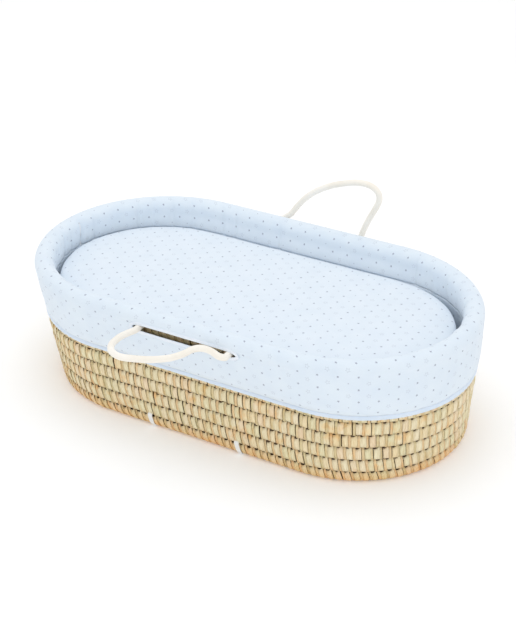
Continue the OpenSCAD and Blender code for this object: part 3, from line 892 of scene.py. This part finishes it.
cord_cover, shader = new_material("cream cord cover")
tree = cord_cover.node_tree
place = node(tree, "ShaderNodeTexCoord")
sleeve = node(tree, "ShaderNodeGroup", node_tree=weave)
sleeve.inputs[1].default_value = 1100
turned = node(tree, "ShaderNodeMapping", in_2=(0, 0, math.radians(45)))
tree.links.new(place.outputs["UV"], turned.inputs[0])
tree.links.new(turned.outputs[0], sleeve.inputs[0])
sleeve_mask = mask(tree, sleeve.outputs[1], 0.35, 0.7)
tint = blend_colour(tree, sleeve_mask, linear(250, 246, 238), linear(244, 238, 226))
tree.links.new(tint, shader.inputs["Base Color"])
shader.inputs["Roughness"].default_value = 0.6
shader.inputs["Sheen Weight"].default_value = 0.2
roughen(tree, shader, sleeve.outputs[0], 0.2, 0.0002)
tilt_out = (0, -math.cos(front_tilt), math.sin(front_tilt))
tilt_up = (0, math.sin(front_tilt), math.cos(front_tilt))
for side, name, pivot, route in (
        (-1, "front", front_pivot, in_handle(front_route, front_pivot, tilt_out, tilt_up)),
        (1, "back", back_pivot, in_handle(back_route, back_pivot, (0, 0, 1), (0, 1, 0)))):
    leg = np.array([[0, -0.0385, 0], [0, -0.024, 0], [0, -0.010, 0]]) * (1, side, 1)
    left, right = route[0] + leg, (route[-1] + leg)[::-1]
    root = (0, side * -0.0022, 0.0006)
    path = smooth_route(np.concatenate([left, [route[0] + root], route[1:-1], [route[-1] + root], right]), 8)
    loop_cord = new_object(f"{name}_handle", rope(f"{name}_handle", path, cord_r))
    loop_cord.data.materials.append(cord_cover)
    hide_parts(f"{name}_handle_cover")
    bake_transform(loop_cord)


# ---- Mattress --------------------------------------------------------------------------------
# A foam mattress in a cover of the same printed cotton nearly fills the liner. The cover is drawn tight, so its
# top is slightly crowned and its edges are round.
def slab_mesh(name, low, high, inset, crown, edge):
    """A closed oval pad: rows from the middle of the underside, round a soft edge of radius edge, to the
    middle of a crowned top. Each row is the pad's outline moved in along its own outward directions, and the
    innermost is closed by quads that join its front run to its back run."""
    turn_up = np.radians(np.linspace(-90, 90, 15))
    inner = np.array([0.02, 0.2, 0.4, 0.6, 0.8, 0.93])
    half = high.y - inset
    edge_in = edge * (1 - np.cos(turn_up))
    tall = (high.z - low.z) / 2 - inset
    rise_up = squarer(np.sin(turn_up), 0.8) * tall
    flat_in = (half - edge) * (1 - inner) + edge
    row_in = np.concatenate([flat_in, edge_in, flat_in[::-1]])
    row_z = np.concatenate([np.full(6, -tall), rise_up, np.full(6, tall) + crown * (1 - inner[::-1] ** 2)])
    row_z = (low.z + high.z) / 2 + row_z[:, None, None]
    n = 240
    point, out = oval((np.arange(n) + 0.5) / n, half, low.x + inset, high.x - inset)
    point = point[None] - out[None] * row_in[:, None, None]
    rows = np.concatenate([point, np.broadcast_to(row_z, point.shape[:2] + (1,))], -1)
    faces = grid_faces(len(rows), n, True).tolist()
    last = (len(rows) - 1) * n
    quarter = n // 4
    for k in range(n // 2 - 1):
        a, b = (quarter + k) % n, (quarter + k + 1) % n
        c, d = (quarter - 2 - k) % n, (quarter - 1 - k) % n
        faces += [[d, c, b, a], [last + a, last + b, last + c, last + d]]
    mesh = bpy.data.meshes.new(name)
    mesh.from_pydata(rows.reshape(-1, 3).tolist(), [], faces)
    mesh.polygons.foreach_set("use_smooth", np.ones(len(mesh.polygons), bool))
    return mesh


def points_of(mesh):
    """A mesh's points as an array."""
    spots = np.empty(len(mesh.vertices) * 3, np.float32)
    mesh.vertices.foreach_get("co", spots)
    return spots.reshape(-1, 3)


def inflate(piece, pressure, most):
    """Swells a closed pad as its filling does: an even remesh, a short cloth run under pressure without
    gravity, and no point moved further than most."""
    bpy.context.view_layer.objects.active = piece
    remesh = piece.modifiers.new("even", "REMESH")
    remesh.mode = "VOXEL"
    remesh.voxel_size = 0.006
    bpy.ops.object.modifier_apply(modifier="even")
    before = points_of(piece.data)
    cloth = piece.modifiers.new("cloth", "CLOTH")
    cloth.settings.use_pressure = True
    cloth.settings.uniform_pressure_force = pressure
    cloth.settings.effector_weights.gravity = 0
    cloth.settings.tension_stiffness = 40
    cloth.settings.bending_stiffness = 2
    scene = bpy.context.scene
    for step in range(1, 21):
        scene.frame_set(step)
    bpy.ops.object.modifier_apply(modifier="cloth")
    scene.frame_set(1)
    move = points_of(piece.data) - before
    length = np.linalg.norm(move, axis=1, keepdims=True)
    move *= np.minimum(1, most / np.maximum(length, 1e-9))
    piece.data.vertices.foreach_set("co", (before + move).ravel())
    piece.data.polygons.foreach_set("use_smooth", np.ones(len(piece.data.polygons), bool))
    piece.data.update()


def drape_uv(mesh, low, high):
    """Lays uv in metres on an oval pad: its top and underside lie flat, and its sides carry on outwards from
    the top's edge by their drop, as a cover pulled down over them does."""
    spots = points_of(mesh)
    spine = np.clip(spots[:, 0], low.x + high.y, high.x - high.y)
    away = np.stack([spots[:, 0] - spine, spots[:, 1]], -1)
    reach = np.maximum(np.linalg.norm(away, axis=1), 1e-6)[:, None]
    drop = (high.z - spots[:, 2])[:, None] * np.minimum(reach / high.y, 1) ** 2
    draped = spots[:, :2] + away / reach * drop
    corners = np.empty(len(mesh.loops), np.int32)
    mesh.loops.foreach_get("vertex_index", corners)
    facing = np.array([face.normal.z for face in mesh.polygons])
    facing = np.repeat(facing, [face.loop_total for face in mesh.polygons])[:, None]
    uv = np.where(facing < -0.7, spots[corners, :2], draped[corners])
    mesh.uv_layers.new(name="cloth").data.foreach_set("uv", uv.astype(np.float32).ravel())


cover_blue, cover_shade = linear(227, 237, 247), linear(223, 234, 245)
mattress_print = cotton("pale blue printed cotton, laid flat", cover_blue, cover_shade, True)
low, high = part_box("mattress_cover")
mattress_mesh = slab_mesh("mattress_pad", low, high, inset=0.0006, crown=0.0030, edge=0.0055)
mattress = new_object("mattress_pad", mattress_mesh)
inflate(mattress, pressure=4.0, most=0.0032)
drape_uv(mattress.data, low, high)
finer = mattress.modifiers.new("finer", "SUBSURF")
finer.levels = finer.render_levels = 1
mattress.data.materials.append(mattress_print)
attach(mattress, "mattress")
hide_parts("mattress_cover", "mattress_core")


# ---- Support pad -----------------------------------------------------------------------------
# Under the mattress a firm foam block in a plain cotton cover lifts it to the height of the rim.
pad_cotton = cotton("plain white cotton", linear(238, 240, 242), linear(226, 230, 236), False, from_object=True)
low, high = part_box("support_pad_cover")
support_mesh = slab_mesh("support_pad_body", low, high, inset=0.0012, crown=0.0, edge=0.008)
support = new_object("support_pad_body", support_mesh)
support.data.materials.append(pad_cotton)
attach(support, "support_pad")
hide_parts("support_pad_cover", "support_pad_foam")


# ---- Hidden pieces ---------------------------------------------------------------------------
# The straps inside the wall, the palm cord on its top edge, the side wadding, the elastic and the ropes
# keep their plain shapes and get their own finishes.
def bulk(name, first, second, scale, roughness):
    """A soft or fibrous filling: two colours mixed by noise, with the same noise as a bump."""
    material, shader = new_material(name)
    tree = material.node_tree
    place = node(tree, "ShaderNodeTexCoord")
    lumps = node(tree, "ShaderNodeTexNoise", in_2=scale, in_3=5.0)
    tree.links.new(place.outputs["Object"], lumps.inputs["Vector"])
    tree.links.new(blend_colour(tree, lumps.outputs["Fac"], first, second), shader.inputs["Base Color"])
    shader.inputs["Roughness"].default_value = roughness
    roughen(tree, shader, lumps.outputs["Fac"], 0.4, 0.0008)
    return material


inside_white, inside_shade = linear(240, 240, 238), linear(226, 226, 222)
tape_inside = cotton(
    "white cotton tape, inside", inside_white, inside_shade, False, from_object=True, threads=900)
wadding = bulk("polyester wadding", linear(246, 247, 250), linear(228, 232, 238), 160.0, 1.0)
elastic = bulk("woven elastic", linear(238, 240, 244), linear(210, 214, 222), 900.0, 0.8)
rope_core = bulk("cotton rope", linear(228, 214, 182), linear(200, 184, 150), 420.0, 0.95)
finishes = {
    "strap_front_head": tape_inside, "strap_front_foot": tape_inside, "strap_back_head": tape_inside,
    "strap_back_foot": tape_inside, "palm_rim_cord": palm_leaf, "side_wadding": wadding,
    "hem_elastic": elastic, "front_handle_core": rope_core, "back_handle_core": rope_core,
}
rim_wadding.data.materials.append(wadding)
for name, finish in finishes.items():
    piece = frame["nodes"][name]
    piece.data.materials.clear()
    piece.data.materials.append(finish)
